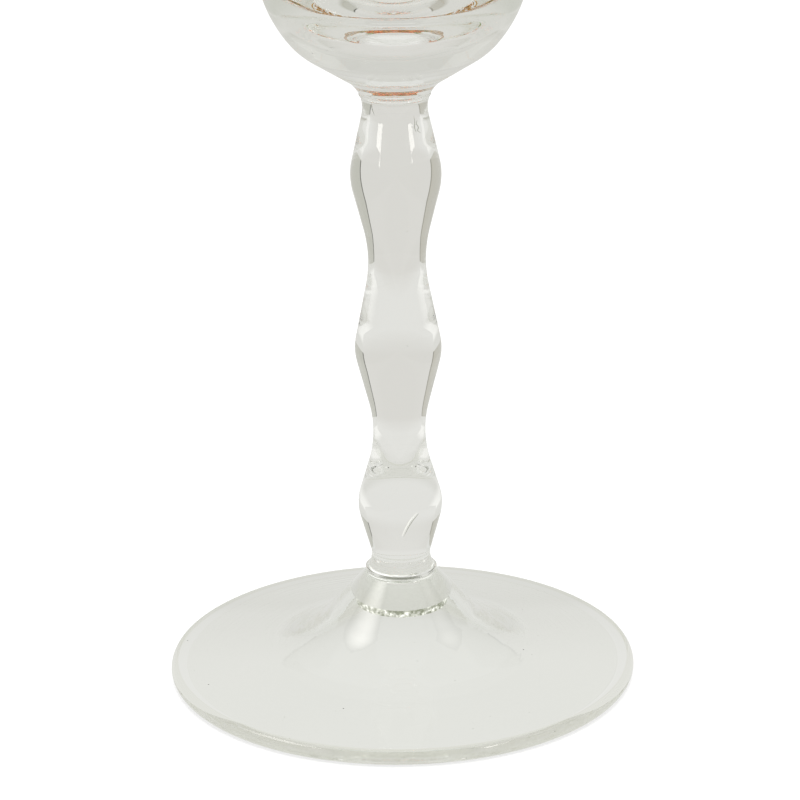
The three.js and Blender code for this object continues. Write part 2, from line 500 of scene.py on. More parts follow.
plate_tilt = 90 - PLATE_SLOPE
edge = knop(FOOT_RADIUS, EDGE_ROUND, EDGE_ROUND)
wall_below = CONE_WALL / cos(radians(CONE_SLOPE))
hollow_at = cone_start - np.array([0, wall_below])
rest_inside = np.array([FOOT_RADIUS - EDGE_ROUND - REST_RING_WIDTH, 0])
top_sweep = sweep(cone_start, CONE_SLOPE, on_circle(edge, plate_tilt), PLATE_SLOPE, FOOT_SWEEP)
hollow_sweep = sweep(hollow_at, CONE_SLOPE, rest_inside, PLATE_SLOPE, HOLLOW_SWEEP)
pontil_root = hollow_at[1] - drop * (PONTIL_RADIUS - cone_start[0])
foot_line = divided([
    (0, PONTIL_HEIGHT), (PONTIL_RADIUS, PONTIL_HEIGHT), (PONTIL_RADIUS, pontil_root),
    *arc(hollow_sweep, CONE_TILT, plate_tilt), rest_inside, *arc(edge, -90, plate_tilt),
    *eased([*arc(top_sweep, plate_tilt, CONE_TILT), seam_corner], FOOT_SEAM, FOOT_EASE), (0, FOOT_SEAM),
])
foot = turned("spread_foot", foot_line, FOOT_STEPS, FOOT_GLASS, FOOT_RINGS)
seal_seams(foot, [FOOT_SEAM])

# %% The pontil scar and the edge
GRIND_PATCH = 1.5
CHIP_SIZE = 0.6
CHIP_DEPTH = 0.6
CHIP_PAINTED_GLINT = 0.5
EDGE_FROM = 32.9
DISC_REACH = 0.05
STEP_REACH = 0.1
UPRIGHT_FACE = 0.3


def ground_glass(tree):
    """Glass ground fine with a stone. Its tiny facets let light out at every angle, as a low index does."""
    patches = pattern(tree, GRIND_PATCH)
    rough = add(tree, "ShaderNodeMapRange", {"Value": patches, "To Min": 0.12, "To Max": 0.28})
    return add(tree, "ShaderNodeBsdfPrincipled", {
        "Base Color": linear("#f4f5f1"), "Roughness": rough, "IOR": 1.12, "Transmission Weight": 1.0})


def chipped_glass(tree):
    """Broken glass: sharp chips of half a millimetre. A tint from dark green-grey to pale is painted shade on
    them, and a white glow on the brightest spots is a painted glint.
    """
    chips = pattern(tree, CHIP_SIZE, "ShaderNodeTexVoronoi")
    bump = add(tree, "ShaderNodeBump", {"Height": chips, "Distance": CHIP_DEPTH * MM})
    spots = pattern(tree, CHIP_SIZE)
    tint = paint_ramp(add(tree, "ShaderNodeValToRGB", {0: spots}), [(0.42, "#6f7659"), (0.55, "#f6f8ea")])
    painted_glint = add(tree, "ShaderNodeMapRange", {
        "Value": spots, "From Min": 0.56, "From Max": 0.66, "To Max": CHIP_PAINTED_GLINT})
    return add(tree, "ShaderNodeBsdfPrincipled", {
        "Base Color": tint, "Roughness": 0.03, "IOR": GLASS_INDEX, "Transmission Weight": 1.0,
        "Emission Color": linear("#ffffff"), "Emission Strength": painted_glint, "Normal": bump})


resurface(foot, EDGE_GLASS, lambda radius, height, normal: radius > EDGE_FROM)
resurface(foot, new_material("clear glass, ground fine", ground_glass),
          lambda radius, height, normal: radius < PONTIL_RADIUS and abs(height - PONTIL_HEIGHT) < DISC_REACH)
resurface(foot, new_material("clear glass, chipped, with painted glints and shade", chipped_glass),
          lambda radius, height, normal: abs(normal.z) < UPRIGHT_FACE
          and radius < PONTIL_RADIUS + STEP_REACH and height < pontil_root + DISC_REACH)
print("the foot has", len(foot.data.materials), "surfaces")

# %% [markdown]
# The bowl was blown into a ball with a heel, and its wall closes in a little towards the round rim. The
# inside has a shape of its own: straight down the wall, round a tight corner and over a flatter bottom.
# What lies between the two is the thick clear base, a lens that turns the painted ornament over.

# %% The bowl
BALL_RADIUS = 19.33
BALL_HEIGHT = 109.0
HEEL_CURVE = 10.3
HEEL_TILT = 51 - 90
WALL = 1.3
SHOULDER_CURVE = 170
INSIDE_BOTTOM_HEIGHT = 98.9
INSIDE_BOTTOM_CURVE = 24.0
INSIDE_WIDEST_HEIGHT = 114.0
INSIDE_SHOULDER_CURVE = 135
RIM_HEIGHT = 139.5
BOWL_STEPS = 200

reach = BALL_RADIUS - HEEL_CURVE
heel_centre = on_circle(knop(reach, BALL_HEIGHT, reach), HEEL_TILT)
heel = {"centre": heel_centre, "curve": HEEL_CURVE, "side": 1}
ball = knop(BALL_RADIUS, BALL_HEIGHT, BALL_RADIUS)
shoulder = knop(BALL_RADIUS, BALL_HEIGHT, SHOULDER_CURVE)
inside_radius = BALL_RADIUS - WALL
inside_bottom = knop(INSIDE_BOTTOM_CURVE, INSIDE_BOTTOM_HEIGHT + INSIDE_BOTTOM_CURVE, INSIDE_BOTTOM_CURVE)
above = inside_bottom["centre"][1] - INSIDE_WIDEST_HEIGHT
corner_curve = ((INSIDE_BOTTOM_CURVE ** 2 - inside_radius ** 2 - above ** 2)
                / (2 * (INSIDE_BOTTOM_CURVE - inside_radius)))
inside_corner = knop(inside_radius, INSIDE_WIDEST_HEIGHT, corner_curve)
bottom_tilt = degrees(atan2(-above, inside_corner["centre"][0]))
inside_shoulder = knop(inside_radius, INSIDE_WIDEST_HEIGHT, INSIDE_SHOULDER_CURVE)
rim_tilt = tilt_at(shoulder, RIM_HEIGHT)
inside_rim_tilt = tilt_at(inside_shoulder, RIM_HEIGHT)
rim_outside = on_circle(shoulder, rim_tilt)[0]
rim_inside = on_circle(inside_shoulder, inside_rim_tilt)[0]
rim = knop(rim_outside, RIM_HEIGHT, (rim_outside - rim_inside) / 2)
bowl_start = chain([BOWL_NECK, heel], tilt_at(BOWL_NECK, BOWL_SEAM), HEEL_TILT)
bowl_line = divided([
    (0, BOWL_SEAM), *eased(bowl_start, BOWL_SEAM, BOWL_EASE),
    *arc(ball, HEEL_TILT, 0), *arc(shoulder, 0, rim_tilt), *arc(rim, 0, 180),
    *arc(inside_shoulder, inside_rim_tilt, 0), *arc(inside_corner, 0, bottom_tilt),
    *arc(inside_bottom, bottom_tilt, -90),
])
bowl = turned("blown_bowl", bowl_line, BOWL_STEPS, BOWL_GLASS)
seal_seams(bowl, [BOWL_SEAM])

# %% [markdown]
# Hand-made glass is never quite clean. A pocket of air drawn out in the lowest knop makes a bright curved
# line, and cords, which are streaks of glass with another index, make fine dark ones; their grey tint here
# is painted shade, and one cord runs beside the air line as its painted dark edge. Each is a thread that
# follows a few marks in the glass. A broken grey thread along the joint of the foot and the collar is
# painted shade in the crease there. The tool that shaped the lowest knop left a row of small marks above
# it, drawn as silvery balls with a painted glint, and two silvery balls in the collar are painted
# highlights of the crease where the collar meets the stem.

# %% Threads in the glass
LINE_SIDES = 8
LINE_STEPS = 28
TAPER = 0.6


def smooth_path(marks):
    """A smooth curve through the marks, in even steps, by the curve that four neighbours give."""
    marks = [np.array(mark, float) for mark in marks]
    marks = [2 * marks[0] - marks[1], *marks, 2 * marks[-1] - marks[-2]]
    spans = len(marks) - 3
    path = []
    for i in range(LINE_STEPS + 1):
        whole = min(int(i * spans / LINE_STEPS), spans - 1)
        t = i * spans / LINE_STEPS - whole
        a, b, c, d = marks[whole:whole + 4]
        squared = (2 * a - 5 * b + 4 * c - d) * t ** 2
        cubed = (3 * b - a - 3 * c + d) * t ** 3
        path.append((2 * b + (c - a) * t + squared + cubed) / 2)
    return path


def drawn_line(shape, marks, thickness):
    """A closed thread through the marks that thins out to a point at both ends."""
    path = smooth_path(marks)
    turns = [2 * pi * k / LINE_SIDES for k in range(LINE_SIDES)]
    rings = []
    for i in range(1, len(path) - 1):
        way = path[i + 1] - path[i - 1]
        way /= np.linalg.norm(way)
        side = np.cross(way, [0, 1, 0])
        side /= np.linalg.norm(side)
        other = np.cross(way, side)
        size = thickness / 2 * sin(pi * i / (len(path) - 1)) ** TAPER
        ring = [path[i] + size * (side * cos(turn) + other * sin(turn)) for turn in turns]
        rings.append([shape.verts.new(tuple(spot * MM)) for spot in ring])
    first, last = [shape.verts.new(tuple(path[i] * MM)) for i in (0, -1)]
    for k in range(LINE_SIDES):
        after = (k + 1) % LINE_SIDES
        for one, two in zip(rings, rings[1:]):
            shape.faces.new((one[k], one[after], two[after], two[k]))
        shape.faces.new((first, rings[0][after], rings[0][k]))
        shape.faces.new((last, rings[-1][k], rings[-1][after]))


def draw_lines(shape, lines):
    for marks, thickness in lines:
        drawn_line(shape, marks, thickness)


def drawn_mesh(name, draw, *choices):
    """The mesh that a function draws."""
    shape = bmesh.new()
    draw(shape, *choices)
    mesh = bpy.data.meshes.new(name)
    shape.to_mesh(mesh)
    shape.free()
    return mesh


def piece_of(name, material, draw, *choices):
    """A smooth piece from the shape that a function draws."""
    mesh = drawn_mesh(name, draw, *choices)
    face_outwards(mesh)
    mesh.materials.append(material)
    for face in mesh.polygons:
        face.use_smooth = True
    print(name, len(mesh.polygons), "faces")
    return new_object(name, mesh)


# %% Drawn air and cords
AIR_LINE = [(2.08, -3.2, 26.4), (1.58, -3.4, 25.9), (1.08, -3.5, 25.3), (0.58, -3.35, 24.3),
            (0.08, -2.95, 22.75)]
AIR_LINE_THICKNESS = 0.26
AIR_WAVE = 0.5
AIR_PAINTED_GLOW = 0.25
# Each cord is glass tinted grey, and the grey is painted shade for the dark line it draws. The third runs
# beside the air line as its painted dark edge.
CORDS = [
    [(2.87, -2.61, 85.46), (2.75, -2.86, 84.93), (3.01, -2.81, 84.32), (2.88, -3.04, 83.96),
     (3.39, -2.72, 83.4)],
    [(2.5, -3.3, 86.3), (2.62, -3.3, 85.2), (2.55, -3.4, 84.5), (2.8, -3.3, 83.7)],
    [(2.3, -3.3, 26.3), (1.85, -3.5, 25.8), (1.35, -3.6, 25.15), (0.85, -3.45, 24.2), (0.33, -3.0, 22.85)],
    [(-3.14, -3.26, 88.28), (-3.04, -2.82, 87.81), (-2.92, -2.74, 87.0), (-2.68, -2.92, 86.28)],
]
CORD_THICKNESS = 0.12


def silvery_air_and_glints(tree):
    """Air inside glass throws light back like silver; a faint glow is a painted reflection of the windows it
    mirrors. The tool marks and the collar's crease take this look as painted glints.
    """
    waves = pattern(tree, AIR_WAVE)
    rough = add(tree, "ShaderNodeMapRange", {"Value": waves, "To Min": 0.05, "To Max": 0.2})
    return add(tree, "ShaderNodeBsdfPrincipled", {
        "Base Color": linear("#fbfbf8"), "Metallic": 1.0, "Roughness": rough,
        "Emission Color": linear("#ffffff"), "Emission Strength": AIR_PAINTED_GLOW})


SILVERY_AIR_AND_GLINTS = new_material("air in glass and painted glints, silvery", silvery_air_and_glints)
# The cords' grey tint is painted shade.
CORD_GLASS_GREY_AS_SHADE = new_material("cord of glass, grey as painted shade", clear_glass, "#c9cbc2")
air_line = piece_of("air_line", SILVERY_AIR_AND_GLINTS, drawn_line, AIR_LINE, AIR_LINE_THICKNESS)
cords = piece_of("cords", CORD_GLASS_GREY_AS_SHADE, draw_lines, [(marks, CORD_THICKNESS) for marks in CORDS])

# %% Painted shade in the joint of the foot
JOINT_RADIUS = 4.88
JOINT_HEIGHT = 16.42
JOINT_LINES = [(-42, 38, 0.24), (-84, -52, 0.14), (50, 86, 0.16)]
JOINT_STEP = 8


def joint_marks(start, end):
    """Marks round the joint, from one turn to another in degrees."""
    turns = [radians(turn) for turn in range(start, end + 1, JOINT_STEP)]
    return [(JOINT_RADIUS * sin(turn), -JOINT_RADIUS * cos(turn), JOINT_HEIGHT) for turn in turns]


# A dark grey tint on broken threads along the joint: painted shade in the crease between foot and collar.
SCALE = new_material("painted shade along the joint", clear_glass, "#a2a49b")
joint_line = piece_of("joint_line", SCALE, draw_lines, [
    (joint_marks(start, end), thickness) for start, end, thickness in JOINT_LINES])

# %% Tool marks and painted crease highlights
# Each tool mark is a silvery ball whose faint glow is a painted glint on the ridge the tool left.
TOOL_MARKS = [(-4.32, -0.78, 32.32), (-3.78, -1.8, 32.91), (-2.97, -2.86, 33.03), (-2.0, -3.5, 33.28),
              (1.76, -3.58, 33.41), (2.59, -3.13, 33.21), (3.28, -2.49, 33.09)]
TOOL_MARK_SIZE = 0.3
# Two silvery balls at the collar's upper crease, one on each side, are painted highlights of that crease.
CREASE_HIGHLIGHTS = [(-3.45, -2.5, 18.1), (3.45, -2.5, 18.1)]
CREASE_HIGHLIGHT_SIZE = 0.5
MARK_FLATNESS = (1.0, 1.0, 0.6)
MARK_SINK = 1.2
BALL_FINENESS = 2


def draw_balls(shape, places, size, flatness):
    """Small balls at these places, each flattened or stretched along the three axes."""
    for place in places:
        placed = Matrix.Translation([v * MM for v in place]) @ Matrix.Diagonal((*flatness, 1.0))
        bmesh.ops.create_icosphere(
            shape, subdivisions=BALL_FINENESS, radius=size / 2 * MM, matrix=placed)


def draw_tool_marks_and_crease_glints(shape):
    """The marks are measured on the surface, and each ball lies just under it."""
    for size, marks in ((TOOL_MARK_SIZE, TOOL_MARKS), (CREASE_HIGHLIGHT_SIZE, CREASE_HIGHLIGHTS)):
        kept = [1 - MARK_SINK * size / 2 / hypot(x, y) for x, y, _ in marks]
        sunk = [(x * share, y * share, z) for share, (x, y, z) in zip(kept, marks)]
        draw_balls(shape, sunk, size, MARK_FLATNESS)


tool_marks_and_crease_glints = piece_of("tool_marks_and_crease_glints", SILVERY_AIR_AND_GLINTS, draw_tool_marks_and_crease_glints)

# %% [markdown]
# Grains of the pot lie near the surface as dark specks, and three more dark specks lie between the tool
# marks in the lowest knop. Seeds, which are tiny bubbles, are scattered in the foot and the stem. The seeds
# have no order, so Geometry Nodes scatter them with a fixed seed over the piece's surface and sink them a
# little.

# %% Specks
# The last three lie between the tool marks in the lowest knop.
SPECKS = [(-31.73, 5.82, 2.03), (-28.09, -10.75, 2.4), (-8.48, -22.04, 3.53), (17.59, -4.65, 4.55),
          (-11.06, -10.55, 97.96), (4.63, -0.79, 56.8), (4.78, -1.21, 55.6),
          (-3.4, -2.3, 32.95), (-1.6, -3.65, 33.3), (2.2, -3.3, 33.3)]
SPECK_SIZE = 0.16
SPECK_FLATNESS = (1.3, 1.0, 0.7)
GRAIN_SPOT = 0.1


def grain(tree):
    """Dark grey-brown and dull: a grain of fired clay from the pot, and the dark specks between the tool
    marks.
    """
    spots = pattern(tree, GRAIN_SPOT)
    colour = paint_ramp(add(tree, "ShaderNodeValToRGB", {0: spots}), [(0.3, "#3f3c36"), (0.7, "#6b665c")])
    return add(tree, "ShaderNodeBsdfPrincipled", {"Base Color": colour, "Roughness": 0.6})


GRAIN_AND_DARK_SPECK = new_material("pot grain and dark specks", grain)
specks = piece_of("specks", GRAIN_AND_DARK_SPECK, draw_balls, SPECKS, SPECK_SIZE, SPECK_FLATNESS)

# %% Seeds
SEED_SMALLEST = 0.025
SEED_LARGEST = 0.075
SEED_DEPTH = 0.5
SEED_DENSITY = 0.6
SEED_FINENESS = 3
SEED_FACES = 20 * 4 ** (SEED_FINENESS - 1)
SQUARE_CM = 0.0001


def seed_tree():
    tree, given = new_tree("seeds in the glass", ["Seed"], ["Density", "Depth", "Smallest", "Largest"])
    spread = add(tree, "GeometryNodeDistributePointsOnFaces", {
        "Mesh": given["Geometry"], "Density": given["Density"], "Seed": given["Seed"]}).outputs
    inwards = add(tree, "ShaderNodeMath", {0: given["Depth"], 1: -1.0}, operation="MULTIPLY")
    push = add(tree, "ShaderNodeVectorMath", {0: spread["Normal"], "Scale": inwards}, operation="SCALE")
    sunk = add(tree, "GeometryNodeSetPosition", {"Geometry": spread["Points"], "Offset": push})
    ball = add(tree, "GeometryNodeMeshIcoSphere", {"Radius": 1.0, "Subdivisions": SEED_FINENESS})
    smooth = add(tree, "GeometryNodeSetShadeSmooth", {"Geometry": ball})
    sizes = add(tree, "FunctionNodeRandomValue", {
        "Min": given["Smallest"], "Max": given["Largest"], "Seed": given["Seed"]}, data_type="FLOAT").outputs
    copies = add(tree, "GeometryNodeInstanceOnPoints", {
        "Points": sunk, "Instance": smooth, "Scale": next(size for size in sizes if size.enabled)})
    return end_tree(tree, given, copies)


def seeds_in(glass, name, seed):
    """Scatters tiny bubbles just under the surface of a piece; the density is per square centimetre."""
    piece = through_tree(name, glass.data.copy(), SEEDS, {
        "Density": SEED_DENSITY / SQUARE_CM, "Depth": SEED_DEPTH * MM, "Smallest": SEED_SMALLEST * MM,
        "Largest": SEED_LARGEST * MM, "Seed": seed, "Material": SEED_LOOK})
    print(name, len(piece.data.polygons) // SEED_FACES, "seeds")
    return piece


SEEDS = seed_tree()
SEED_LOOK = new_material("seed, a tiny bubble", clear_glass, "#e9ebe4")
foot_seeds = seeds_in(foot, "seeds_in_foot", 11)
stem_seeds = seeds_in(stem, "seeds_in_stem", 5)

# %% [markdown]
# Painted glasses of this kind carry their ornament on the upper bowl, and its colours show again, bent
# and broken, in the thick base: the orange lights there come from it. The ornament here is a plain
# garland of five-petalled blossoms with leaves in four sprays, joined by thin gold swags under two gold
# lines. Enamel is ground coloured glass, painted on and fired until it melts into the surface, so each
# stroke is a thin slab that lies partly in the wall. One repeat is drawn flat, and Geometry Nodes set it
# round the bowl and bend it to the wall's curve.

# %% Flat strokes
STROKE_DEPTH = 0.10
STROKE_RISE = 0.035
STROKE_CROWN = 1.6
LEAF_CORNERS = 14
DOT_CORNERS = 12


def stroke_points(shape, points, level):
    return [shape.verts.new((x * MM, y * MM, level * MM)) for x, y in points]


def blob(shape, outline, middle):
    """A closed slab of paint with this outline, fanned out from its middle."""
    low, high = [stroke_points(shape, outline, level) for level in (-STROKE_DEPTH, STROKE_RISE)]
    under, crown = [stroke_points(shape, [middle], level)[0]
                    for level in (-STROKE_DEPTH, STROKE_RISE * STROKE_CROWN)]
    for i in range(len(outline)):
        j = (i + 1) % len(outline)
        shape.faces.new((low[j], low[i], under))
        shape.faces.new((high[i], high[j], crown))
        shape.faces.new((low[i], low[j], high[j], high[i]))


def leaf_shape(middle, length, width, turn, fullness=1.0, count=LEAF_CORNERS):
    """The outline of a petal or leaf: an ellipse, drawn to a point at its ends where fullness is low."""
    outline = []
    for i in range(count):
        angle = 2 * pi * i / count
        along = length / 2 * cos(angle)
        across = width / 2 * sin(angle) * abs(sin(angle)) ** (1 - fullness)
        outline.append((middle[0] + along * cos(turn) - across * sin(turn),
                        middle[1] + along * sin(turn) + across * cos(turn)))
    return outline


def ribbon(shape, path, widths, joined=False):
    """A closed line of paint along a path. One that joins its own next repeat needs no ends."""
    rows = []
    for i, (x, y) in enumerate(path):
        before, after = path[max(i - 1, 0)], path[min(i + 1, len(path) - 1)]
        way = np.array(after) - np.array(before)
        side = np.array([-way[1], way[0]]) / np.hypot(*way) * widths[i] / 2
        corners = [(x - side[0], y - side[1]), (x + side[0], y + side[1])]
        low = stroke_points(shape, corners, -STROKE_DEPTH)
        high = stroke_points(shape, corners, STROKE_RISE)
        rows.append((low[0], low[1], high[1], high[0]))
    for one, two in zip(rows, rows[1:]):
        for k in range(4):
            shape.faces.new((one[k], one[(k + 1) % 4], two[(k + 1) % 4], two[k]))
    if not joined:
        shape.faces.new(rows[0][::-1])
        shape.faces.new(rows[-1])


# %% One repeat of the garland
REPEATS = 4
REPEAT_WIDTH = 2 * pi * BALL_RADIUS / REPEATS
HALF = REPEAT_WIDTH / 2
PETALS = 5
LARGE = {"reach": 2.05, "length": 2.9, "width": 2.3}
SMALL = {"reach": 1.3, "length": 1.9, "width": 1.6}
FLOWERS = [((0, -0.8), LARGE), ((-2.9, -6.4), SMALL), ((2.9, -6.4), SMALL), ((0, 4.9), SMALL)]
EYE_SIZE = 1.5
CRESCENT_LOW = -12.0
CRESCENT_REACH = 5.4
CRESCENT_RISE = 0.9
CRESCENT_WIDTH = 2.2
CRESCENT_TIP = 0.1
SWAG_START = 6.4
SWAG_SAG = 3.0
SWAG_WIDTH = 0.4
SWAG_STEPS = 16
LEAVES = [(4.9, 1.4, 30), (5.0, -2.2, -20), (5.9, -8.2, -35), (2.9, 6.6, 40), (1.3, -9.6, -70)]
LEAF_LENGTH = 2.8
LEAF_WIDTH = 1.5
LEAF_FULLNESS = 0.5
LINE_HEIGHTS = (8.6, 10.6)
LINE_WIDTH = 0.45
DOT_SIZE = 1.3
ROUND_STEPS = 48
ACROSS = [2 * i / ROUND_STEPS - 1 for i in range(ROUND_STEPS + 1)]


def flower(shape, place, reach, length, width):
    for k in range(PETALS):
        turn = radians(90 + 360 / PETALS * k)
        middle = (place[0] + reach * cos(turn), place[1] + reach * sin(turn))
        blob(shape, leaf_shape(middle, length, width, turn), middle)


def paint_flowers(shape):
    """The blossoms, and a crescent that hangs under them and thins out to both sides."""
    for place, size in FLOWERS:
        flower(shape, place, **size)
    path = [(CRESCENT_REACH * t, CRESCENT_LOW + CRESCENT_RISE * t * t) for t in ACROSS]
    ribbon(shape, path, [CRESCENT_TIP + CRESCENT_WIDTH * sqrt(max(0, 1 - t * t)) for t in ACROSS])


def paint_leaves(shape):
    for side in (-1, 1):
        for x, y, turn in LEAVES:
            angle = radians(turn if side > 0 else 180 - turn)
            middle = (side * x, y)
            blob(shape, leaf_shape(middle, LEAF_LENGTH, LEAF_WIDTH, angle, LEAF_FULLNESS), middle)


def paint_dot(shape, place, size):
    blob(shape, leaf_shape(place, size, size, 0, count=DOT_CORNERS), place)


def paint_gold(shape):
    """The eyes of the blossoms, the dots between the sprays, the swags and the two lines above."""
    for place, _ in FLOWERS:
        paint_dot(shape, place, EYE_SIZE)
    paint_dot(shape, (HALF, -SWAG_SAG), DOT_SIZE)
    shares = [i / SWAG_STEPS for i in range(SWAG_STEPS + 1)]
    run = HALF - DOT_SIZE - SWAG_START
    for side in (-1, 1):
        swag = [(side * (SWAG_START + run * t), -SWAG_SAG * sin(pi / 2 * t)) for t in shares]
        ribbon(shape, swag, [SWAG_WIDTH] * len(swag))
    for level in LINE_HEIGHTS:
        ribbon(shape, [(HALF * t, level) for t in ACROSS], [LINE_WIDTH] * len(ACROSS), joined=True)


# %% Setting it round the bowl
GARLAND_HEIGHT = 124.5
GARLAND_WELD = 0.005


def garland_tree():
    tree, given = new_tree("garland round the bowl", ["Repeats"],
                           ["Repeat Width", "Middle Height", "Bowl Radius", "Widest Height", "Wall Curve"])
    step = add(tree, "ShaderNodeCombineXYZ", {0: given["Repeat Width"]})
    row = add(tree, "GeometryNodeMeshLine", {"Count": given["Repeats"], "Offset": step})
    copies = add(tree, "GeometryNodeInstanceOnPoints", {"Points": row, "Instance": given["Geometry"]})
    flat = add(tree, "GeometryNodeRealizeInstances", {"Geometry": copies})
    position = add(tree, "GeometryNodeInputPosition")
    along, up, out = add(tree, "ShaderNodeSeparateXYZ", {0: position}).outputs
    found = {}
    follow(tree, "ShaderNodeMath", found, [
        ("girth", "MULTIPLY", given["Repeat Width"], given["Repeats"]),
        ("share", "DIVIDE", along, "girth"),
        ("angle", "MULTIPLY", "share", 2 * pi),
        ("height", "ADD", up, given["Middle Height"]),
        ("climb", "SUBTRACT", "height", given["Widest Height"]),
        ("curve squared", "MULTIPLY", given["Wall Curve"], given["Wall Curve"]),
        ("climb squared", "MULTIPLY", "climb", "climb"),
        ("reach squared", "SUBTRACT", "curve squared", "climb squared"),
        ("reach", "SQRT", "reach squared"),
        ("centre", "SUBTRACT", given["Bowl Radius"], given["Wall Curve"]),
        ("wall", "ADD", "centre", "reach"),
        ("radius", "ADD", "wall", out),
        ("cosine", "COSINE", "angle"),
        ("sine", "SINE", "angle"),
        ("x", "MULTIPLY", "radius", "cosine"),
        ("y", "MULTIPLY", "radius", "sine"),
    ])
    bent = add(tree, "ShaderNodeCombineXYZ", {0: found["x"], 1: found["y"], 2: found["height"]})
    moved = add(tree, "GeometryNodeSetPosition", {"Geometry": flat, "Position": bent})
    joined = add(tree, "GeometryNodeMergeByDistance", {"Geometry": moved, "Distance": GARLAND_WELD * MM})
    return end_tree(tree, given, joined)


GARLAND = garland_tree()


def painted_on(name, paint, material):
    """Draws one repeat with the given function and sets it round the bowl."""
    piece = through_tree(name, drawn_mesh(name, paint), GARLAND, {
        "Repeats": REPEATS, "Repeat Width": REPEAT_WIDTH * MM, "Middle Height": GARLAND_HEIGHT * MM,
        "Bowl Radius": BALL_RADIUS * MM, "Widest Height": BALL_HEIGHT * MM,
        "Wall Curve": SHOULDER_CURVE * MM, "Material": material})
    face_outwards(piece.data)
    print(name, len(piece.data.polygons), "faces")
    return piece


# %% [markdown]
# Fired enamel is glossy and a little translucent, and uneven in depth of colour where the brush laid it
# thicker. The gold is a very thin film of real metal that was burnished after firing, so it is bright
# with fine brush marks.

# %% Enamel and gold
ENAMEL_PATCH = 0.8
ENAMEL_DEPTH = 0.4
ENAMEL_RELIEF = 0.03
ENAMEL_INDEX = 1.56
GOLD_MARK = 0.33
GOLD_RELIEF = 0.02


def enamel(tree, light, dark):
    """Fired glass enamel: a glossy skin over colour that varies from stroke to stroke."""
    patches = pattern(tree, ENAMEL_PATCH, Detail=3.0)
    colour = paint_ramp(add(tree, "ShaderNodeValToRGB", {0: patches}), [(0.35, dark), (0.65, light)])
    bump = add(tree, "ShaderNodeBump", {"Height": patches, "Strength": 0.4, "Distance": ENAMEL_RELIEF * MM})
    return add(tree, "ShaderNodeBsdfPrincipled", {
        "Base Color": colour, "Roughness": 0.22, "IOR": ENAMEL_INDEX, "Normal": bump,
        "Subsurface Weight": 1.0, "Subsurface Radius": (1.0, 0.85, 0.75),
        "Subsurface Scale": ENAMEL_DEPTH * MM})


def gilding(tree):
    """Burnished fired gold: warm metal with fine brush marks of a third of a millimetre."""
    marks = pattern(tree, GOLD_MARK, Detail=4.0)
    rough = add(tree, "ShaderNodeMapRange", {"Value": marks, "To Min": 0.18, "To Max": 0.42})
    bump = add(tree, "ShaderNodeBump", {"Height": marks, "Strength": 0.3, "Distance": GOLD_RELIEF * MM})
    return add(tree, "ShaderNodeBsdfPrincipled", {
        "Base Color": linear("#d9a441"), "Metallic": 1.0, "Roughness": rough, "Normal": bump})


ORANGE = new_material("fired orange enamel", enamel, "#f9c7a4", "#ee9f74")
GREEN = new_material("fired green enamel", enamel, "#bccba0", "#98ad78")
blossoms = painted_on("enamel_blossoms", paint_flowers, ORANGE)
leaves = painted_on("enamel_leaves", paint_leaves, GREEN)
gold_lines = painted_on("gold_lines", paint_gold, new_material("fired gold, burnished", gilding))

# %% [markdown]
# The glass stands on pale paper in front of a pale board that leans back, with a cloth on each side. To
# the camera the paper is plain white and keeps the glass's shadow. Clear glass shows what is around it,
# so bent and mirrored rays see the paper, the board and the cloths in their own greys. The paper's grey
# holds a painted soft shadow just behind the glass, and the cloths hold painted shade along the board,
# darkest in the corner where they meet it, which draws the dark lines inside the knops. Mirrored rays pass
# the cloths, so that the windows outside them still show.

# %% Greys that change from place to place
def graded(tree, place, stops):
    """Colours along a line, from pairs of the place in millimetres and the hex colour there."""
    first, last = stops[0][0], stops[-1][0]
    share = add(tree, "ShaderNodeMapRange", {"Value": place, "From Min": first * MM, "From Max": last * MM})
    shares = [((reach - first) / (last - first), colour) for reach, colour in stops]
    return paint_ramp(add(tree, "ShaderNodeValToRGB", {0: share}), shares)


def own_place(tree, kind="Object"):
    """The X, Y and Z of the place on the piece itself."""
    place = add(tree, "ShaderNodeTexCoord").outputs[kind]
    return add(tree, "ShaderNodeSeparateXYZ", {0: place}).outputs


def corners_from(low, high):
    """The four corners of an upright or flat sheet: which side each is on, and its level."""
    return [(-1, low), (1, low), (1, high), (-1, high)]


def stage_plane(name, corners, material):
    mesh = bpy.data.meshes.new(name)
    mesh.from_pydata([tuple(c * MM for c in corner) for corner in corners], [], [(0, 1, 2, 3)])
    mesh.materials.append(material)
    plane = new_object(name, mesh)
    return plane


# %% The floor
FLOOR_SIZE = 3000
PAPER_GREY = "#e3e3e0"
PAPER_WHITENESS = 0.75
# Along the middle the grey is brighter in front and darkest 20 to 30 mm behind the glass, a painted soft
# shadow of the glass.
MIDDLE_STOPS_WITH_PAINTED_SHADOW = [(-25, "#e9e9e6"), (0, "#e8e8e5"), (9, "#e5e5e2"), (16, "#e1e1de"), (20, "#d9d9d5"),
                (30, "#d9d9d5"), (42, PAPER_GREY)]
SIDE_STOPS = [(0, "#f8f8f5"), (86, "#f8f8f5"), (100, "#dcdcd8")]
MIDDLE_TO = 40
SIDE_FROM = 56


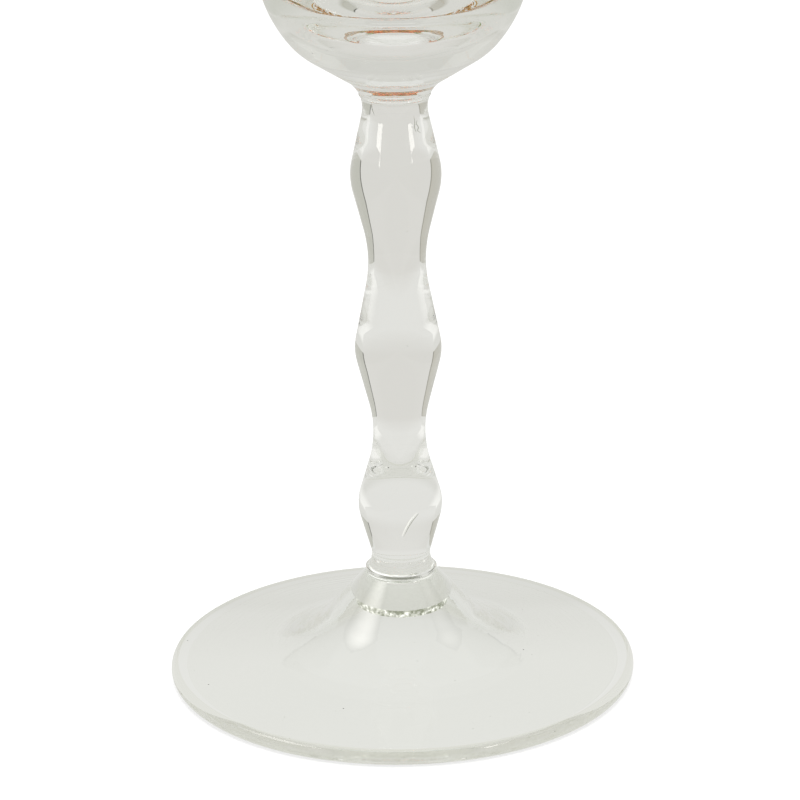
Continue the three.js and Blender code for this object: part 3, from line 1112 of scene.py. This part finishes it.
def paper(tree):
    """White with a shadow to the camera, and grey to the rays that the glass bends or mirrors, with a painted
    soft shadow of the glass on the paper behind it.
    """
    path = add(tree, "ShaderNodeLightPath").outputs
    lit = add(tree, "ShaderNodeBsdfDiffuse", {"Color": linear("#f4f4f2")})
    white = add(tree, "ShaderNodeEmission", {"Color": linear("#ffffff")})
    seen = add(tree, "ShaderNodeMixShader", {0: PAPER_WHITENESS, 1: lit, 2: white})
    spot = own_place(tree)
    away = add(tree, "ShaderNodeMath", {0: spot["X"]}, operation="ABSOLUTE")
    aside = add(tree, "ShaderNodeMapRange", {
        "Value": away, "From Min": MIDDLE_TO * MM, "From Max": SIDE_FROM * MM})
    greys = add(tree, "ShaderNodeMix", {
        0: aside, 6: graded(tree, spot["Y"], MIDDLE_STOPS_WITH_PAINTED_SHADOW), 7: graded(tree, away, SIDE_STOPS),
    }, data_type="RGBA")
    grey = add(tree, "ShaderNodeEmission", {"Color": greys.outputs[2]})
    bent = add(tree, "ShaderNodeMath", {0: path["Is Transmission Ray"], 1: path["Is Glossy Ray"]},
               operation="MAXIMUM")
    other = add(tree, "ShaderNodeMixShader", {0: bent, 1: lit, 2: grey})
    return add(tree, "ShaderNodeMixShader", {0: path["Is Camera Ray"], 1: other, 2: seen})


floor_corners = [(side * FLOOR_SIZE, y, 0) for side, y in corners_from(-FLOOR_SIZE, FLOOR_SIZE)]
stage_plane("floor", floor_corners, new_material("pale paper", paper))

# %% The board and the cloths
BOARD_FOOT = 70
BOARD_LEAN = 0.6
BOARD_GREY = "#d9d8d4"
BOARD_STOPS = [(8, PAPER_GREY), (24, BOARD_GREY), (70, BOARD_GREY), (100, "#d4d4cf"), (160, "#cecec9")]
SIDE_DISTANCE = 75
SHEET_HEIGHT = 400
CLOTH_FRONT = -60
CLOTH_BACK_FOOT = 23
CLOTH_FRONT_FOOT = 30
PLAIN_FROM = 88
PLAIN_ABOVE = 102
PLAIN_STOPS = [(-8, "#c4c6bd"), (37.5, "#d6d6d1")]
FRONT_STOPS = [(92, "#dcdcd7"), (130, "#dadad5")]
# At a gap of 0 to 8 mm from the board the cloths are dark grey: painted shade in the corner where cloth and
# board meet.
RIGHT_STOPS_WITH_PAINTED_SHADE = [(0, "#45453e"), (4, "#55554d"), (8, "#bcbcb3"), (45, "#babab0"), (80, "#b4b4aa"), *FRONT_STOPS]
LEFT_STOPS_WITH_PAINTED_SHADE = [(0, "#8a877b"), (5, "#908d81"), (9, "#bcbab0"), (45, "#bab8ae"), (80, "#b4b2a8"), *FRONT_STOPS]


def board_place(height):
    """How far behind the glass the leaning board is at this height."""
    return BOARD_FOOT + BOARD_LEAN * height


def board_paint(tree):
    """The board is grey above and catches light from the floor at its foot."""
    return add(tree, "ShaderNodeEmission", {"Color": graded(tree, own_place(tree)["Z"], BOARD_STOPS)})


def side_cloth(tree, stops):
    """Cloth with painted shade along the leaning board's edge, darkest in the corner where they meet, and
    brighter in front. At the bowl it is plain.
    """
    place = own_place(tree)
    found = {}
    follow(tree, "ShaderNodeMath", found, [
        ("lean", "MULTIPLY", place["Z"], BOARD_LEAN),
        ("board", "ADD", "lean", BOARD_FOOT * MM),
        ("gap", "SUBTRACT", "board", place["Y"]),
    ])
    climb = add(tree, "ShaderNodeMapRange", {
        "Value": place["Z"], "From Min": PLAIN_FROM * MM, "From Max": PLAIN_ABOVE * MM})
    greys = add(tree, "ShaderNodeMix", {
        0: climb, 6: graded(tree, found["gap"], stops), 7: graded(tree, place["Y"], PLAIN_STOPS),
    }, data_type="RGBA")
    return add(tree, "ShaderNodeEmission", {"Color": greys.outputs[2]})


def panel(name, corners, material):
    """A plane of the studio that only the glass shows."""
    plane = stage_plane(name, corners, material)
    plane.visible_camera = False
    plane.visible_diffuse = False
    plane.visible_shadow = False
    return plane


board_corners = [(side * SIDE_DISTANCE, board_place(z), z) for side, z in corners_from(0, SHEET_HEIGHT)]
panel("leaning_board", board_corners, new_material("leaning board", board_paint))
for name, side, stops in (("right_cloth", 1, RIGHT_STOPS_WITH_PAINTED_SHADE), ("left_cloth", -1, LEFT_STOPS_WITH_PAINTED_SHADE)):
    x = side * SIDE_DISTANCE
    cloth = panel(name, [
        (x, CLOTH_FRONT, CLOTH_FRONT_FOOT), (x, board_place(CLOTH_BACK_FOOT), CLOTH_BACK_FOOT),
        (x, board_place(SHEET_HEIGHT), SHEET_HEIGHT), (x, CLOTH_FRONT, SHEET_HEIGHT),
    ], new_material(name, side_cloth, stops))
    cloth.visible_glossy = False

# %% [markdown]
# Two small bright windows stand close in front of the glass, left and right. A third one higher up gives
# the rim its glint, and a wide soft one stands on each side. They are what the bright lines on the knops
# and the soft patches on the foot mirror. Only mirrored rays see them, so that they add sparkle to the
# surfaces and no glare behind the glass.

# %% Soft windows
WINDOW_MIDDLE = 80
WINDOWS = [
    ("window_front_left", 311, 15, 5.2, 8.6, 110, 7.0, 0.0),
    ("window_front_right", 49, 14, 5.2, 8.6, 110, 6.5, 0.0),
    ("window_rim_right", 46, 8, 20, 34, 300, 6.0, 0.0),
    ("window_side_left", 282, 56, 14, 52, 320, 5.0, 1.2),
    ("window_side_right", 88, 40, 22, 50, 320, 1.4, 1.2),
]


def window_light(tree, strength, softness):
    """White light that fades towards the four edges: not at all at softness 0, like a sine arch at 1."""
    place = own_place(tree, "Generated")
    found = {}
    follow(tree, "ShaderNodeMath", found, [
        ("turn across", "MULTIPLY", place["X"], pi),
        ("turn up", "MULTIPLY", place["Z"], pi),
        ("arch across", "SINE", "turn across"),
        ("arch up", "SINE", "turn up"),
        ("both", "MULTIPLY", "arch across", "arch up"),
        ("fade", "POWER", "both", softness),
        ("power", "MULTIPLY", "fade", strength),
    ])
    return add(tree, "ShaderNodeEmission", {"Color": linear("#fffdf8"), "Strength": found["power"]})


def window(name, azimuth, width, low, high, distance, strength, softness):
    """A window facing the axis, by its azimuth and width in degrees and its elevations' range."""
    corners = []
    for side, rise in corners_from(low, high):
        angle = radians(azimuth + side * width / 2)
        height = distance * tan(radians(rise)) + WINDOW_MIDDLE
        corners.append((distance * sin(angle), -distance * cos(angle), height))
    plane = panel(name, corners, new_material(name, window_light, strength, softness))
    plane.visible_transmission = False


for row in WINDOWS:
    window(*row)
print(len(WINDOWS), "windows")

# %% [markdown]
# One lamp hangs above the glass. It lights the enamel and lays the soft shadow on the paper. The sky is
# white to the camera and pale grey to the glass, like the walls of a bright room.

# %% The lamp and the world
LAMP_SIZE = 500
LAMP_HEIGHT = 600
LAMP_POWER = 6
lamp = new_object("top_lamp", bpy.data.lights.new("top_lamp", "AREA"))
lamp.data.size = LAMP_SIZE * MM
lamp.data.energy = LAMP_POWER
lamp.location = (0, 0, LAMP_HEIGHT * MM)
lamp.visible_camera = False
lamp.visible_transmission = False
lamp.visible_glossy = False

world = bpy.data.worlds.new("studio")
scene.world = world
world.use_nodes = True
sky = world.node_tree
sky.nodes.clear()
path = add(sky, "ShaderNodeLightPath").outputs
white_sky = add(sky, "ShaderNodeBackground", {"Color": linear("#ffffff")})
room = add(sky, "ShaderNodeBackground", {"Color": linear("#e0e1de")})
both = add(sky, "ShaderNodeMixShader", {0: path["Is Camera Ray"], 1: room, 2: white_sky})
add(sky, "ShaderNodeOutputWorld", {"Surface": both})

# %% [markdown]
# Light crosses many surfaces of clear glass before it leaves it, and each bounce that is cut off would
# leave a black spot. The counts are therefore high.

# %% Light paths
scene.cycles.max_bounces = 96
scene.cycles.transmission_bounces = 96
scene.cycles.glossy_bounces = 48
scene.cycles.transparent_max_bounces = 64

# %% [markdown]
# Nothing on the glass moves, so every piece rides the one body, root. The four solids give way to their
# finer pieces.

# %% Bodies and replaced solids
for piece, slot, node in (
    (bowl, "bowl_glass", "bowl"), (stem, "stem_glass", "stem"),
    (collar, "stem_glass", "foot_collar"), (foot, "foot_glass", "foot"),
):
    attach(piece, "root")
    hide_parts(node)

for piece, slot in (
    (blossoms, "orange_enamel"), (leaves, "green_enamel"), (gold_lines, "gilding"),
    (air_line, "stem_glass"), (joint_line, "stem_glass"), (cords, "stem_glass"),
    (tool_marks_and_crease_glints, "stem_glass"), (specks, "foot_glass"), (foot_seeds, "foot_glass"),
    (stem_seeds, "stem_glass"),
):
    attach(piece, "root")
